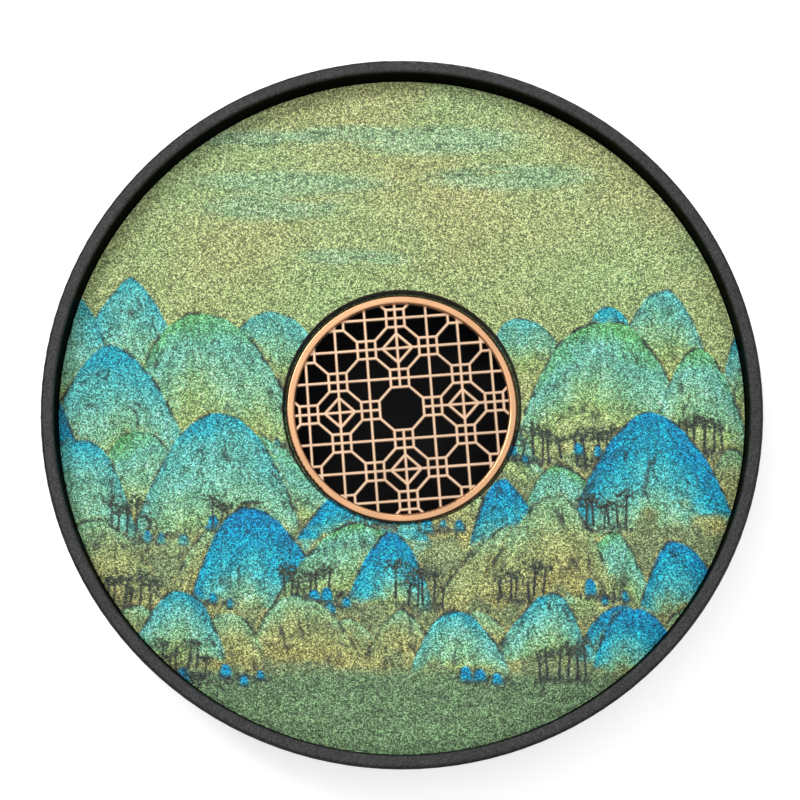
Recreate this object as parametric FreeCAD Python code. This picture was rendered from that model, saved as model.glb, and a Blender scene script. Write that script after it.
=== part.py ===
# Round reservoir tea tray: a dark moulded base with a raised rim, a printed drain deck
# that lifts out, a rose-gold lattice grate over the drain opening, and a rear hose drain.
#
# Millimetres, +Z up.  The origin is the centre of the plane that the feet stand on.
# +Y is the rear, where the drain fitting sits in a niche under the rim.

import FreeCAD
import Part
import math
import os

# ---------------------------------------------------------------- driving dimensions
# Base tray
RIM_RADIUS = 151.0            # outside of the rim, half the tray's 302 mm diameter
RIM_WIDTH = 5.7               # width of the rim seen from above
TRAY_HEIGHT = 46.0            # table to rim top
FOOT_STAND = 2.5              # gap under the tray
FLOOR_THICKNESS = 4.0
WALL_BOTTOM_RADIUS = 147.5    # outside of the wall at the underside: a slight draft
RESERVOIR_RADIUS = 141.0      # inside of the wall below the deck
RIM_OUTER_ROUND = 2.0
RIM_INNER_ROUND = 1.1
UNDERSIDE_ROUND = 4.0
FLOOR_ROUND = 3.0
LEDGE_ROUND = 0.8

# Deck
DECK_BELOW_RIM = 11.4         # rim top to deck surface
DECK_THICKNESS = 9.0
DECK_CLEARANCE = 0.3          # round the deck's edge
CUSHION_RISE = 1.0            # how far the cushions hold the deck off its ledge
DECK_OPENING_RADIUS = 47.3    # drain opening under the grate
RECESS_RADIUS = 50.6          # round the grate
RECESS_DEPTH = 5.2
DECK_EDGE_ROUND = 0.4

# Grate
RING_OUTER_RADIUS = 49.25
RING_INNER_RADIUS = 45.6
RING_RISE = 2.0               # crown of the ring above the recess floor
RING_OUTER_ROUND = 1.1        # the two rounds make the ring's top convex
RING_INNER_ROUND = 0.9
SKIRT_CLEARANCE = 0.2         # ring's skirt inside the deck's opening
SKIRT_DEPTH = 2.0             # how far the skirt drops below the recess floor
LATTICE_RADIUS = 46.3         # the panel's edge, seated inside the skirt
LATTICE_THICKNESS = 1.6
LATTICE_PITCH = 13.2          # between neighbouring grid lines
LATTICE_TURN = 4.3            # degrees the pattern is turned about the grate's centre
BAR_WIDTH = 1.45
BAR_BEVEL = 0.3
KNOT_HALF_SIDE = 3.87         # small square round a crossing, to bar centres
DIAMOND_REACH = 6.43          # small diamond, centre to corner
SMALLEST_OPENING = 0.35       # slivers of opening below this area stay solid
GRID_REACH = 3                # grid lines on each side of the middle one

# Posts, cushions and feet
POST_CIRCLE_RADIUS = 80.0
POST_RADIUS = 6.0
POST_FOOT_SPREAD = 1.5        # flare where a post meets the floor
POST_FOOT_HEIGHT = 3.0
CUSHION_HEAD_RADIUS = 5.0
CUSHION_STEM_RADIUS = 2.0
CUSHION_STEM_LENGTH = 5.0
STEM_END_GAP = 0.5            # below the end of a cushion's stem
SNUG_CLEARANCE = 0.05         # round anything that is pushed into a fitted hole
LEDGE_CUSHION_WIDTH = 2.6
LEDGE_CUSHION_SPAN = 16.0     # degrees of arc
LEDGE_GROOVE_DEPTH = 0.5
FOOT_CIRCLE_RADIUS = 117.0
FOOT_RADIUS = 9.0
FOOT_RECESS = 0.8
FOOT_ROUND = 0.8

# Drain niche and fitting
NICHE_WIDTH = 38.0
NICHE_BACK = 124.0            # distance of the niche's back wall from the centre
NICHE_WALL = 4.0
NICHE_ROOF_BELOW_LEDGE = 3.2
NICHE_CORNER = 5.0
DRAIN_HEIGHT = 7.0            # fitting's axis above the reservoir floor
FLANGE_RADIUS = 6.6
FLANGE_THICKNESS = 2.0
SEAL_RADIUS = 6.8
SEAL_THICKNESS = 1.5
SHANK_RADIUS = 5.0
SHANK_CLEARANCE = 0.15
NUT_ACROSS_FLATS = 15.0
NUT_THICKNESS = 5.0
NUT_BEVEL = 0.8
TAIL_RADIUS = 4.5             # outside of the hose tail
TAIL_LENGTH = 15.0
TAIL_TIP = 146.0              # distance of the tail's open end from the centre
TAIL_TIP_BEVEL = 0.5
BORE_RADIUS = 3.2
STOPPER_CLEARANCE = 0.05
STOPPER_PLUG_LENGTH = 9.0
STOPPER_HEAD_RADIUS = 4.3
STOPPER_HEAD_LENGTH = 3.0
STOPPER_GRIP_GROOVE = 0.7

# ---------------------------------------------------------------- levels worked out
FLOOR_TOP = FOOT_STAND + FLOOR_THICKNESS
RIM_INNER_RADIUS = RIM_RADIUS - RIM_WIDTH
DECK_TOP = TRAY_HEIGHT - DECK_BELOW_RIM
DECK_BOTTOM = DECK_TOP - DECK_THICKNESS
LEDGE_TOP = DECK_BOTTOM - CUSHION_RISE
DECK_RADIUS = RIM_INNER_RADIUS - DECK_CLEARANCE
RECESS_FLOOR = DECK_TOP - RECESS_DEPTH
LEDGE_CUSHION_RADIUS = (RESERVOIR_RADIUS + RIM_INNER_RADIUS) / 2
DRAIN_AXIS = FLOOR_TOP + DRAIN_HEIGHT
NICHE_INNER = NICHE_BACK - NICHE_WALL
NICHE_TOP = LEDGE_TOP - NICHE_ROOF_BELOW_LEDGE

TINY = 1e-3                   # tolerance for finding an edge by its place
OVERRUN = 1.0                 # how far a cutting shape runs past the face it opens
CENTRE = FreeCAD.Vector(0, 0, 0)
UP = FreeCAD.Vector(0, 0, 1)
REAR = FreeCAD.Vector(0, 1, 0)
DIAGONALS = {"front_left": 225, "front_right": 315, "rear_left": 135, "rear_right": 45}
QUARTERS = {"front": 270, "right": 0, "rear": 90, "left": 180}


# ---------------------------------------------------------------- helpers
def around(radius, degrees, height=0.0):
    """Point on a circle about the tray's axis."""
    angle = math.radians(degrees)
    return FreeCAD.Vector(radius * math.cos(angle), radius * math.sin(angle), height)


def lathe(profile, sweep=360.0):
    """Solid of revolution about Z from a closed list of (radius, height) points."""
    points = [FreeCAD.Vector(radius, 0, height) for radius, height in profile]
    face = Part.Face(Part.makePolygon(points + points[:1]))
    return face.revolve(CENTRE, UP, sweep)


def tube(outer, inner, bottom, top):
    """Ring with a square section, standing on the tray's axis."""
    return lathe([(inner, bottom), (outer, bottom), (outer, top), (inner, top)])


def disc(radius, bottom, top, centre=CENTRE):
    """Upright cylinder between two heights."""
    start = FreeCAD.Vector(centre.x, centre.y, bottom)
    return Part.makeCylinder(radius, top - bottom, start, UP)


def circle_edges(shape, radius, height):
    """Circular edges of one radius, centred on any upright axis, at one height."""
    found = []
    for edge in shape.Edges:
        curve = edge.Curve
        if not isinstance(curve, Part.Circle):
            continue
        same_radius = abs(curve.Radius - radius) < TINY
        if same_radius and abs(curve.Center.z - height) < TINY:
            found.append(edge)
    return found


def round_circles(shape, *rounds):
    """Fillet circular edges, each given as (radius, height, fillet)."""
    for radius, height, fillet in rounds:
        shape = shape.makeFillet(fillet, circle_edges(shape, radius, height))
    return shape


def lay_rearward(shape, axis_height):
    """Turn a shape lathed about Z so that its axis points to the rear at a height."""
    laid = shape.copy()
    laid.rotate(CENTRE, FreeCAD.Vector(1, 0, 0), -90)
    laid.translate(FreeCAD.Vector(0, 0, axis_height))
    return laid


def save(node, shape):
    """Write one sub-part to its own file."""
    shape.exportStep(f"parts/{node}.step")


# ---------------------------------------------------------------- base tray
def tray_shell():
    """Floor, wall, deck ledge and rim, turned about the tray's axis."""
    shell = lathe([
        (0, FOOT_STAND),
        (WALL_BOTTOM_RADIUS, FOOT_STAND),
        (RIM_RADIUS, TRAY_HEIGHT),
        (RIM_INNER_RADIUS, TRAY_HEIGHT),
        (RIM_INNER_RADIUS, LEDGE_TOP),
        (RESERVOIR_RADIUS, LEDGE_TOP),
        (RESERVOIR_RADIUS, FLOOR_TOP),
        (0, FLOOR_TOP),
    ])
    return round_circles(
        shell,
        (RIM_RADIUS, TRAY_HEIGHT, RIM_OUTER_ROUND),
        (RIM_INNER_RADIUS, TRAY_HEIGHT, RIM_INNER_ROUND),
        (WALL_BOTTOM_RADIUS, FOOT_STAND, UNDERSIDE_ROUND),
        (RESERVOIR_RADIUS, FLOOR_TOP, FLOOR_ROUND),
        (RESERVOIR_RADIUS, LEDGE_TOP, LEDGE_ROUND),
    )


def niche_housing():
    """Block inside the rear wall that keeps the reservoir closed around the niche."""
    width = NICHE_WIDTH + 2 * NICHE_WALL
    middle_of_wall = (RESERVOIR_RADIUS + WALL_BOTTOM_RADIUS) / 2
    corner = FreeCAD.Vector(-width / 2, NICHE_INNER, FLOOR_TOP - FLOOR_THICKNESS / 2)
    block = Part.makeBox(width, RIM_RADIUS - NICHE_INNER, LEDGE_TOP - corner.z, corner)
    return block.common(disc(middle_of_wall, FOOT_STAND, LEDGE_TOP))


def niche_hollow():
    """Space cut into the rear skirt for the hose, with rounded upper corners."""
    corner = FreeCAD.Vector(-NICHE_WIDTH / 2, NICHE_BACK, -NICHE_TOP)
    hollow = Part.makeBox(NICHE_WIDTH, RIM_RADIUS, 2 * NICHE_TOP, corner)
    upper = [
        edge for edge in hollow.Edges
        if abs(edge.CenterOfMass.z - NICHE_TOP) < TINY
        and abs(abs(edge.CenterOfMass.x) - NICHE_WIDTH / 2) < TINY
    ]
    return hollow.makeFillet(NICHE_CORNER, upper)


def post(degrees):
    """Moulded post that carries one cushion under the deck."""
    centre = around(POST_CIRCLE_RADIUS, degrees)
    column = disc(POST_RADIUS, FLOOR_TOP - FLOOR_THICKNESS / 2, LEDGE_TOP, centre)
    spread = POST_RADIUS + POST_FOOT_SPREAD
    flare_base = around(POST_CIRCLE_RADIUS, degrees, FLOOR_TOP)
    flare = Part.makeCone(spread, POST_RADIUS, POST_FOOT_HEIGHT, flare_base, UP)
    return column.fuse(flare)


def ledge_arc(degrees, bottom, top, spare=0.0):
    """Length of a strip along the deck ledge, centred on a direction."""
    inner = LEDGE_CUSHION_RADIUS - LEDGE_CUSHION_WIDTH / 2 - spare
    outer = LEDGE_CUSHION_RADIUS + LEDGE_CUSHION_WIDTH / 2 + spare
    spare_angle = math.degrees(spare / LEDGE_CUSHION_RADIUS)
    sweep = LEDGE_CUSHION_SPAN + 2 * spare_angle
    strip = lathe([(inner, bottom), (outer, bottom), (outer, top), (inner, top)], sweep)
    strip.rotate(CENTRE, UP, degrees - sweep / 2)
    return strip


def drain_hole():
    """Hole through the niche's back wall for the fitting's shank."""
    return Part.makeCylinder(
        SHANK_RADIUS + SHANK_CLEARANCE, 3 * NICHE_WALL,
        FreeCAD.Vector(0, NICHE_INNER - NICHE_WALL, DRAIN_AXIS), REAR)


def base_tray():
    """The whole moulded base, one solid."""
    added = [niche_housing()] + [post(degrees) for degrees in DIAGONALS.values()]
    body = tray_shell().multiFuse(added)
    cuts = [niche_hollow(), drain_hole()]
    for degrees in DIAGONALS.values():
        stem_spot = around(POST_CIRCLE_RADIUS, degrees)
        stem_bottom = LEDGE_TOP - CUSHION_STEM_LENGTH - STEM_END_GAP
        cuts.append(disc(CUSHION_STEM_RADIUS + SNUG_CLEARANCE, stem_bottom, TRAY_HEIGHT, stem_spot))
        foot_spot = around(FOOT_CIRCLE_RADIUS, degrees)
        cuts.append(disc(FOOT_RADIUS + SNUG_CLEARANCE, 0, FOOT_STAND + FOOT_RECESS, foot_spot))
    for degrees in QUARTERS.values():
        groove_bottom = LEDGE_TOP - LEDGE_GROOVE_DEPTH
        cuts.append(ledge_arc(degrees, groove_bottom, LEDGE_TOP + OVERRUN, SNUG_CLEARANCE))
    return body.cut(cuts).removeSplitter()


# ---------------------------------------------------------------- deck
def deck_plate():
    """Printed deck with a stepped drain opening for the grate."""
    plate = lathe([
        (DECK_OPENING_RADIUS, DECK_BOTTOM),
        (DECK_RADIUS, DECK_BOTTOM),
        (DECK_RADIUS, DECK_TOP),
        (RECESS_RADIUS, DECK_TOP),
        (RECESS_RADIUS, RECESS_FLOOR),
        (DECK_OPENING_RADIUS, RECESS_FLOOR),
    ])
    return round_circles(
        plate,
        (RECESS_RADIUS, DECK_TOP, DECK_EDGE_ROUND),
        (DECK_OPENING_RADIUS, RECESS_FLOOR, DECK_EDGE_ROUND),
        (DECK_OPENING_RADIUS, DECK_BOTTOM, DECK_EDGE_ROUND),
        (DECK_RADIUS, DECK_BOTTOM, DECK_EDGE_ROUND),
    )


# ---------------------------------------------------------------- grate
def grate_ring():
    """Bezel with a convex top, and a skirt that drops into the opening round the lattice."""
    top = RECESS_FLOOR + RING_RISE
    skirt_radius = DECK_OPENING_RADIUS - SKIRT_CLEARANCE
    skirt_bottom = RECESS_FLOOR - SKIRT_DEPTH
    ring = lathe([
        (LATTICE_RADIUS, skirt_bottom),
        (skirt_radius, skirt_bottom),
        (skirt_radius, RECESS_FLOOR),
        (RING_OUTER_RADIUS, RECESS_FLOOR),
        (RING_OUTER_RADIUS, top),
        (RING_INNER_RADIUS, top),
        (RING_INNER_RADIUS, RECESS_FLOOR),
        (LATTICE_RADIUS, RECESS_FLOOR),
    ])
    return round_circles(
        ring,
        (RING_OUTER_RADIUS, top, RING_OUTER_ROUND),
        (RING_INNER_RADIUS, top, RING_INNER_ROUND),
    )


def bar(start, end):
    """Flat outline of one lattice bar between the centres of its two ends."""
    first = FreeCAD.Vector(start[0], start[1], 0)
    last = FreeCAD.Vector(end[0], end[1], 0)
    along = (last - first).normalize()
    side = UP.cross(along).multiply(BAR_WIDTH / 2)
    corners = [first - side, last - side, last + side, first + side]
    return Part.Face(Part.makePolygon(corners + corners[:1]))


def grid_bars():
    """Long straight bars both ways, broken only at the open octagon in the middle."""
    far = RING_OUTER_RADIUS
    middle = LATTICE_PITCH - KNOT_HALF_SIDE
    bars = []
    for side in (-1, 1):
        bars.append(bar((0, side * middle), (0, side * far)))
        bars.append(bar((side * middle, 0), (side * far, 0)))
        for line in range(1, GRID_REACH + 1):
            place = side * line * LATTICE_PITCH
            bars.append(bar((place, -far), (place, far)))
            bars.append(bar((-far, place), (far, place)))
    return bars


def knot_bars(x, y):
    """Small square round one crossing, and half of the diagonals that leave its corners."""
    half = KNOT_HALF_SIDE
    past = half + BAR_WIDTH / 2
    next_corner = LATTICE_PITCH - half
    bars = []
    for side in (-1, 1):
        edge = side * half
        bars.append(bar((x - past, y + edge), (x + past, y + edge)))
        bars.append(bar((x + edge, y - past), (x + edge, y + past)))
        for way in (-1, 1):
            corner = (x + way * half, y + edge)
            bars.append(bar(corner, (x + way * next_corner, y + side * next_corner)))
    return bars


def diamond_bars(x, y):
    """Four bars of a small diamond round one crossing."""
    reach = DIAMOND_REACH
    corners = [(x + reach, y), (x, y + reach), (x - reach, y), (x, y - reach)]
    return [bar(first, last) for first, last in zip(corners, corners[1:] + corners[:1])]


def lattice_bars():
    """Outlines of every bar: a square grid whose crossings are knots, plain or diamonds by turns."""
    bars = grid_bars()
    farthest_knot = LATTICE_RADIUS + LATTICE_PITCH
    lines = range(-GRID_REACH - 1, GRID_REACH + 2)
    for column in lines:
        for row in lines:
            x = column * LATTICE_PITCH
            y = row * LATTICE_PITCH
            if (column + row) % 2 == 1 and math.hypot(x, y) < farthest_knot:
                bars += knot_bars(x, y)
            if sorted((abs(column), abs(row))) == [0, 2]:
                bars += diamond_bars(x, y)
    return bars


def grate_lattice():
    """Pierced panel: a disc with every opening that the bars leave cut through it."""
    top = RECESS_FLOOR
    bottom = top - LATTICE_THICKNESS
    panel = disc(LATTICE_RADIUS, bottom, top)
    pierced = Part.Face(Part.Wire(Part.makeCircle(RING_INNER_RADIUS)))
    openings = pierced.cut(lattice_bars())
    cutters = []
    for opening in openings.Faces:
        if opening.Area > SMALLEST_OPENING:
            cutter = opening.extrude(FreeCAD.Vector(0, 0, 2 * TRAY_HEIGHT))
            cutters.append(cutter)
    panel = panel.cut(cutters)
    upper_edges = [
        edge for edge in panel.Edges
        if edge.BoundBox.ZMin > top - TINY and edge.BoundBox.XLength < 2 * RING_INNER_RADIUS
    ]
    panel = panel.makeChamfer(BAR_BEVEL, upper_edges)
    panel.rotate(CENTRE, UP, LATTICE_TURN)
    return panel


# ---------------------------------------------------------------- cushions and feet
def post_cushion(degrees):
    """Push-in silicone button: a stem in the post and a head under the deck."""
    centre = around(POST_CIRCLE_RADIUS, degrees)
    head = disc(CUSHION_HEAD_RADIUS, LEDGE_TOP, DECK_BOTTOM, centre)
    stem = disc(CUSHION_STEM_RADIUS, LEDGE_TOP - CUSHION_STEM_LENGTH, LEDGE_TOP, centre)
    return head.fuse(stem).removeSplitter()


def ledge_cushion(degrees):
    """Silicone strip in a groove of the ledge, which the deck's edge rests on."""
    return ledge_arc(degrees, LEDGE_TOP - LEDGE_GROOVE_DEPTH, DECK_BOTTOM)


def foot(degrees):
    """Rubber foot in a shallow recess of the underside."""
    centre = around(FOOT_CIRCLE_RADIUS, degrees)
    pad = disc(FOOT_RADIUS, 0, FOOT_STAND + FOOT_RECESS, centre)
    return round_circles(pad, (FOOT_RADIUS, 0, FOOT_ROUND))


# ---------------------------------------------------------------- drain fitting
def drain_spout():
    """Flange inside the reservoir, shank through the wall, and a plain hose tail."""
    flange_back = NICHE_INNER - SEAL_THICKNESS
    flange_front = flange_back - FLANGE_THICKNESS
    tail_start = TAIL_TIP - TAIL_LENGTH
    spout = lathe([
        (BORE_RADIUS, flange_front),
        (FLANGE_RADIUS, flange_front),
        (FLANGE_RADIUS, flange_back),
        (SHANK_RADIUS, flange_back),
        (SHANK_RADIUS, tail_start),
        (TAIL_RADIUS, tail_start),
        (TAIL_RADIUS, TAIL_TIP),
        (BORE_RADIUS, TAIL_TIP),
    ])
    spout = spout.makeChamfer(TAIL_TIP_BEVEL, circle_edges(spout, TAIL_RADIUS, TAIL_TIP))
    spout = round_circles(spout, (FLANGE_RADIUS, flange_front, FLANGE_THICKNESS / 3))
    return lay_rearward(spout, DRAIN_AXIS)


def drain_seal():
    """Silicone washer between the flange and the reservoir wall."""
    bore = SHANK_RADIUS + SNUG_CLEARANCE
    washer = tube(SEAL_RADIUS, bore, NICHE_INNER - SEAL_THICKNESS, NICHE_INNER)
    return lay_rearward(washer, DRAIN_AXIS)


def drain_nut():
    """Hexagonal lock nut in the niche, bevelled on its outer corners."""
    corner_radius = NUT_ACROSS_FLATS / math.sqrt(3)
    corners = [around(corner_radius, 60 * step, NICHE_BACK) for step in range(6)]
    outline = Part.Face(Part.makePolygon(corners + corners[:1]))
    prism = outline.extrude(FreeCAD.Vector(0, 0, NUT_THICKNESS))
    flat_radius = NUT_ACROSS_FLATS / 2
    top = NICHE_BACK + NUT_THICKNESS
    bevel = lathe([
        (0, NICHE_BACK),
        (corner_radius + OVERRUN, NICHE_BACK),
        (corner_radius + OVERRUN, top - NUT_BEVEL),
        (flat_radius, top),
        (0, top),
    ])
    bore = disc(SHANK_RADIUS + SNUG_CLEARANCE, NICHE_BACK - OVERRUN, top + OVERRUN)
    return lay_rearward(prism.common(bevel).cut(bore), DRAIN_AXIS)


def drain_stopper():
    """Silicone plug in the tail's bore, with a grooved head to pull it by."""
    plug_radius = BORE_RADIUS - STOPPER_CLEARANCE
    plug_start = TAIL_TIP - STOPPER_PLUG_LENGTH
    head_end = TAIL_TIP + STOPPER_HEAD_LENGTH
    groove = TAIL_TIP + STOPPER_HEAD_LENGTH / 3
    stopper = lathe([
        (0, plug_start),
        (plug_radius - STOPPER_GRIP_GROOVE, plug_start),
        (plug_radius, plug_start + STOPPER_GRIP_GROOVE),
        (plug_radius, TAIL_TIP),
        (STOPPER_HEAD_RADIUS, TAIL_TIP),
        (STOPPER_HEAD_RADIUS - STOPPER_GRIP_GROOVE, groove),
        (STOPPER_HEAD_RADIUS, groove + STOPPER_GRIP_GROOVE),
        (STOPPER_HEAD_RADIUS, head_end),
        (0, head_end),
    ])
    return lay_rearward(stopper, DRAIN_AXIS)


# ---------------------------------------------------------------- write every sub-part
def main():
    os.makedirs("parts", exist_ok=True)
    save("base_tray", base_tray())
    save("deck_plate", deck_plate())
    save("grate_ring", grate_ring())
    save("grate_lattice", grate_lattice())
    for place, degrees in DIAGONALS.items():
        save(f"foot_{place}", foot(degrees))
        save(f"post_cushion_{place}", post_cushion(degrees))
    for place, degrees in QUARTERS.items():
        save(f"ledge_cushion_{place}", ledge_cushion(degrees))
    save("drain_spout", drain_spout())
    save("drain_seal", drain_seal())
    save("drain_nut", drain_nut())
    save("drain_stopper", drain_stopper())


main()
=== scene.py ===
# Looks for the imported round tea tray: a printed sandy deck, rose-gold grate and dark grained base.
#
# Lengths of the scene are metres in the row frame; the print is laid out in millimetres.
# The print is an invented valley, made by seeded rules.
import math

import bpy
import numpy as np
from mathutils import Matrix, Vector


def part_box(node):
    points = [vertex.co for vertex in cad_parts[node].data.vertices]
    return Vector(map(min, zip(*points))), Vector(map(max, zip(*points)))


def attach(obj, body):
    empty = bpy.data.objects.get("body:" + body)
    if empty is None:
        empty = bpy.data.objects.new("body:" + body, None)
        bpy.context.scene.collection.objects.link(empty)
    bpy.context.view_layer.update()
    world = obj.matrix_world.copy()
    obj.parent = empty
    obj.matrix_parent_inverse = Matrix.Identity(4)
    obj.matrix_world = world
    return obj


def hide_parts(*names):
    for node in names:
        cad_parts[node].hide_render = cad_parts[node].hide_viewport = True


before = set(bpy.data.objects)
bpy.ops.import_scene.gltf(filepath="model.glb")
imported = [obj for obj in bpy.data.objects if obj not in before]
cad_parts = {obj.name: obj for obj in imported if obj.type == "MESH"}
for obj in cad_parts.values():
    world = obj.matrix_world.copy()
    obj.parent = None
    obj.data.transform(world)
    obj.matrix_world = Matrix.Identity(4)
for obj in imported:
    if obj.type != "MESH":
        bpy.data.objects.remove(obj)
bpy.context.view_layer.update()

MM = 0.001

# ---------------------------------------------------------------- dimensions from the frame
deck_low, deck_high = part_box("deck_plate")
base_low, base_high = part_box("base_tray")
DECK_RADIUS = deck_high.x / MM
DECK_TOP = deck_high.z / MM
DECK_BOTTOM = deck_low.z / MM
RIM_TOP = base_high.z / MM
RIM_RADIUS = base_high.x / MM

# Deck, as in the CAD part
RECESS_FLOOR = 29.4
RECESS_RADIUS = 50.6
OPENING_RADIUS = 47.3
EDGE_ROUND = 0.4
INNER_RADIUS = 145.3          # inside of the rim
RESERVOIR_FLOOR = 6.5
NICHE_HALF_WIDTH = 19.0       # the drain niche is open to the outside at the rear
NICHE_BACK = 124.0
NICHE_ROOF_CLEAR = 22.5       # between the niche's roof and the ledge above it


# ================================================================ painting: noise
def smooth(low, high, value):
    """0 below low, 1 above high, and a soft step between."""
    t = np.clip((value - low) / (high - low), 0.0, 1.0)
    return t * t * (3.0 - 2.0 * t)


def noise(x, y, size, seed):
    """Gradient noise of about -1 to 1 whose features are roughly `size` across."""
    slopes = np.random.default_rng(seed).uniform(0.0, 2.0 * math.pi, (64, 64))
    grid_x = x / size
    grid_y = y / size
    column = np.floor(grid_x).astype(int)
    row = np.floor(grid_y).astype(int)
    step_x = grid_x - column
    step_y = grid_y - row

    def corner(right, up):
        slope = slopes[(column + right) % 64, (row + up) % 64]
        return np.cos(slope) * (step_x - right) + np.sin(slope) * (step_y - up)

    blend_x = step_x * step_x * (3.0 - 2.0 * step_x)
    blend_y = step_y * step_y * (3.0 - 2.0 * step_y)
    lower = corner(0, 0) * (1.0 - blend_x) + corner(1, 0) * blend_x
    upper = corner(0, 1) * (1.0 - blend_x) + corner(1, 1) * blend_x
    return 1.6 * (lower * (1.0 - blend_y) + upper * blend_y)


def rough(x, y, size, seed, octaves=3):
    """Noise with finer noise added on top."""
    total = 0.0
    for octave in range(octaves):
        total = total + noise(x, y, size / 2 ** octave, seed + octave) / 2 ** octave
    return total / 1.6


# ================================================================ painting: pigments, sRGB 0 to 1
INK = (0.20, 0.22, 0.22)
LEAF = (0.25, 0.29, 0.25)
GOLD = (0.74, 0.62, 0.32)
AZURITE = [(0.04, 0.57, 0.81), (0.06, 0.60, 0.78), (0.24, 0.66, 0.67), (0.50, 0.64, 0.47)]
TEAL = [(0.16, 0.66, 0.76), (0.36, 0.74, 0.72), (0.50, 0.76, 0.63), (0.60, 0.71, 0.46)]
JADE = [(0.46, 0.77, 0.67), (0.54, 0.78, 0.59), (0.62, 0.75, 0.47), (0.63, 0.68, 0.42)]
EMERALD = [(0.26, 0.70, 0.50), (0.42, 0.73, 0.46), (0.54, 0.70, 0.43), (0.57, 0.62, 0.40)]
EARTH = [(0.60, 0.66, 0.44), (0.66, 0.67, 0.42), (0.63, 0.61, 0.37), (0.50, 0.54, 0.37)]
SILK = (0.700, 0.732, 0.492)          # the bare sky
COOL_SILK = (0.615, 0.755, 0.510)     # cloudy patches in it
HORIZON = (0.600, 0.715, 0.465)
GROUND = (0.500, 0.570, 0.405)
DRY_GROUND = (0.640, 0.640, 0.410)
DARK_GROUND = (0.330, 0.390, 0.330)
RUBBED = (0.66, 0.68, 0.45)           # where the pigment has worn thin
CLOUD = (0.590, 0.770, 0.600)
CLOUD_LINE = (0.34, 0.44, 0.34)
MIST = (0.640, 0.700, 0.480)
WATER = (0.435, 0.555, 0.400)
RIPPLE = (0.28, 0.35, 0.29)
PALE_WATER = (0.500, 0.640, 0.450)
HORIZON_HEIGHTS = (90.0, 20.0)        # mm, between which the sky cools
GROUND_HEIGHTS = (6.0, -44.0)         # mm, between which sky passes into ground


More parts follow.
